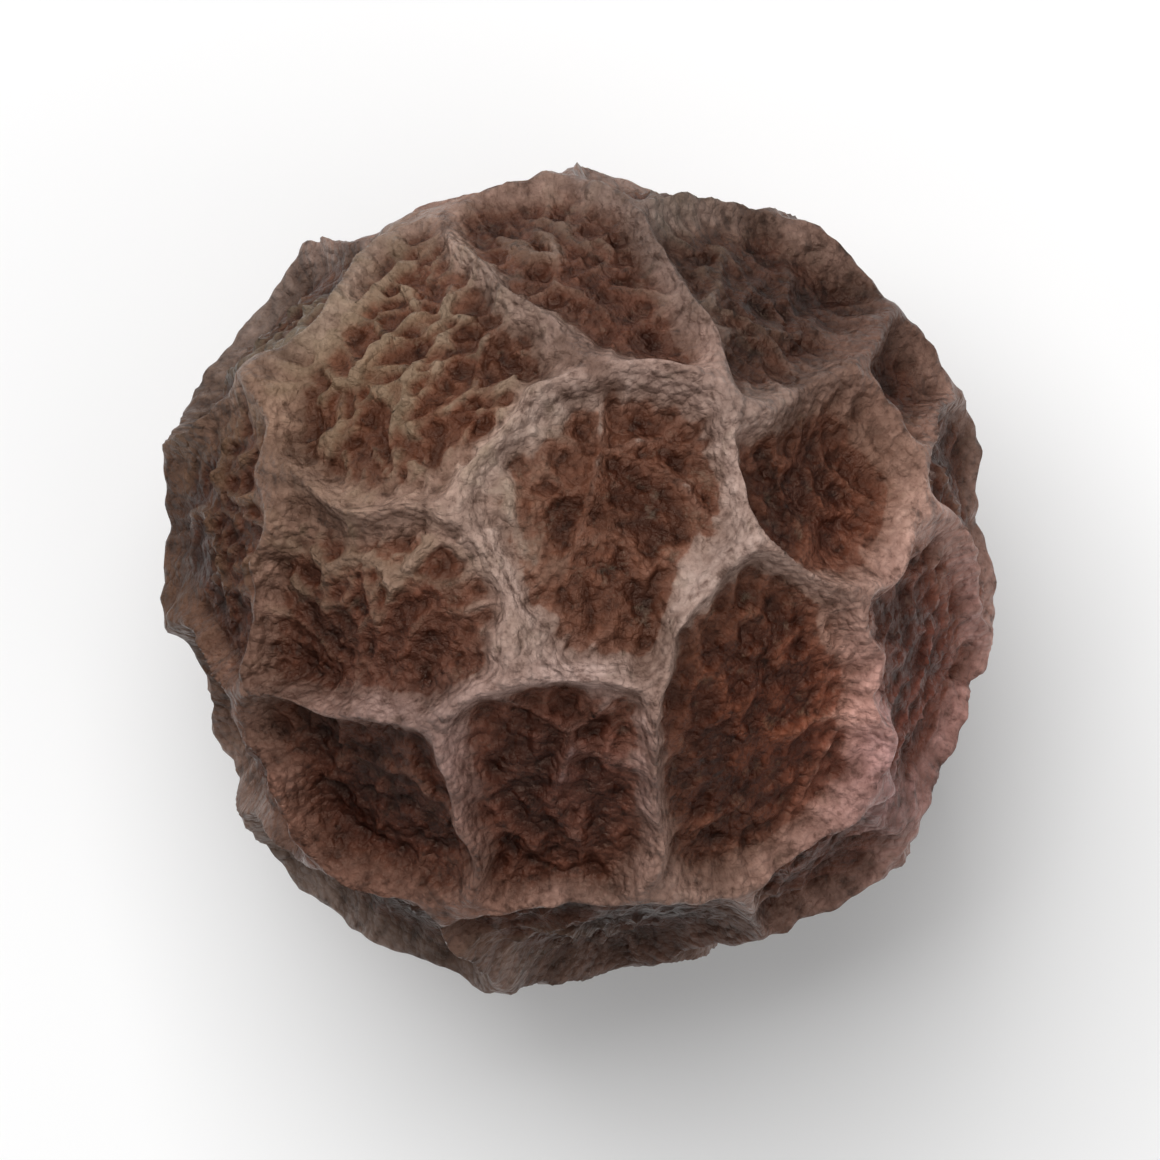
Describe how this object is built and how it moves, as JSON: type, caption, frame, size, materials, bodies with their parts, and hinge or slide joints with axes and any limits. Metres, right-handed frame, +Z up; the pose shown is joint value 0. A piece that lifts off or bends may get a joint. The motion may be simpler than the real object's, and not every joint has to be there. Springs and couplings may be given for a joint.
{
  "type": "black peppercorn",
  "caption": "Dried black pepper berry: a dark brown ball whose shrunken skin stands up in a net of pale ridges.",
  "frame": {"origin": "on the flat spot that the fruit rests on, under the middle of its box", "axes": "+Z up from the flat spot; +X to the right and +Y away from the viewer when the fruit is seen from above as in the picture"},
  "size_m": [0.0048, 0.0048, 0.0049],
  "materials": {
    "skin": null
  },
  "bodies": {
    "root": {"peppercorn": "skin"}
  },
  "joints": []
}
